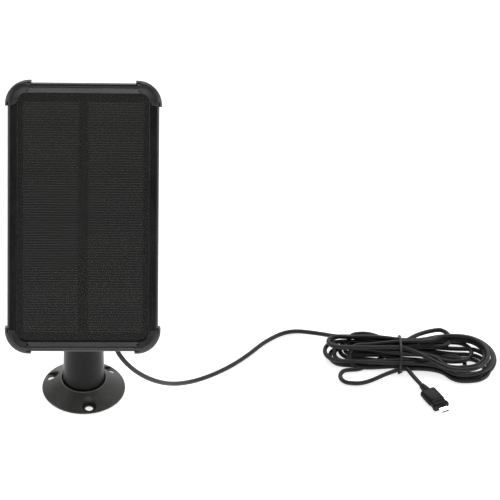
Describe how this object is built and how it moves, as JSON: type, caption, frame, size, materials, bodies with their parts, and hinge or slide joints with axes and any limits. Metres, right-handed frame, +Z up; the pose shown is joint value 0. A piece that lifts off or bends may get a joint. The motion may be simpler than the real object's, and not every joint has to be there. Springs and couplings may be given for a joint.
{
  "type": "solar charging panel with bracket and cable",
  "caption": "Framed portrait solar panel on a pan and tilt bracket with a round screw-down flange, and a free charging cable tied in a hank that ends in a small flat plug.",
  "frame": {"origin": "middle of the flange, on the surface that it stands or is screwed on", "axes": "+Z up out of the flange along the post and its pan axis, the panel faces -Y and leans back, +X is to the right seen from the front"},
  "size_m": [0.3676, 0.1365, 0.2485],
  "materials": {
    "sand_coat": "die-cast, fine sand-textured warm black powder coat",
    "satin_paint": "die-cast, smooth satin black paint",
    "zinc_steel": "zinc plated",
    "black_steel": "black oxide",
    "nylon": "plain moulded",
    "grip_plastic": "fine moulded texture",
    "brass": "turned",
    "rail_black": "extruded, satin black anodised",
    "cap_plastic": "softly pebbled moulded black plastic",
    "clear_sheet": "clear matt laminate film",
    "silicon": "near-black monocrystalline cells with fine silver fingers",
    "black_laminate": "black glass-fibre board",
    "tinned_copper": "tinned",
    "black_rubber": "matt",
    "cover_plastic": "spark-textured moulded black plastic",
    "circuit_board": "green solder mask",
    "ferrite": "sintered",
    "chip_plastic": "moulded epoxy",
    "can_aluminium": "drawn can",
    "white_plastic": "moulded nylon",
    "wire_cover": "red insulation",
    "cable_cover": "matt black cable jacket",
    "tie_cord": "matt twist tie",
    "plug_plastic": "moulded, fine texture",
    "plug_steel": "bright nickel plated"
  },
  "bodies": {
    "base": {"base_flange": "sand_coat"},
    "post": {"post": "satin_paint", "pivot_screw": "zinc_steel", "pivot_spring_washer": "zinc_steel", "friction_washers": "nylon", "tilt_bolt": "zinc_steel", "knob_washer": "zinc_steel"},
    "knob": {"tilt_knob": "grip_plastic", "knob_insert": "brass"},
    "panel": {"tilt_arm": "satin_paint", "pad_screws": "zinc_steel", "mount_plate": "zinc_steel", "rail_top": "rail_black", "rail_bottom": "rail_black", "rail_left": "rail_black", "rail_right": "rail_black", "cap_top_left": "cap_plastic", "cap_top_right": "cap_plastic", "cap_bottom_left": "cap_plastic", "cap_bottom_right": "cap_plastic", "front_sheet": "clear_sheet", "solar_cells": "silicon", "cell_board": "black_laminate", "bus_ribbons": "tinned_copper", "edge_seal": "black_rubber", "back_cover": "cover_plastic", "cover_screws": "black_steel", "cover_gasket": "black_rubber", "regulator_board": "circuit_board", "board_screws": "zinc_steel", "inductor": "ferrite", "regulator_chip": "chip_plastic", "diode": "chip_plastic", "capacitor": "can_aluminium", "cell_connector": "white_plastic", "output_connector": "white_plastic", "cell_wires": "wire_cover", "strain_relief": "black_rubber", "inner_cable": "cable_cover", "cable_lead": "cable_cover", "cable_hank": "cable_cover", "cable_tail": "cable_cover", "cable_tie": "tie_cord", "plug_boot": "cable_cover", "plug_body": "plug_plastic", "plug_shell": "plug_steel", "plug_tongue": "black_laminate"}
  },
  "joints": [
    {"name": "pan", "type": "hinge", "parent": "base", "child": "post", "pos_m": [0, 0, 0.0051], "axis": [0, 0, 1], "range_deg": [-180, 180]},
    {"name": "tilt", "type": "hinge", "parent": "post", "child": "panel", "pos_m": [0, 0, 0.1032], "axis": [-1, 0, 0], "range_deg": [-40, 58]},
    {"name": "knob_turn", "type": "hinge", "parent": "post", "child": "knob", "pos_m": [-0.0165, 0, 0.1032], "axis": [1, 0, 0], "continuous": true}
  ]
}
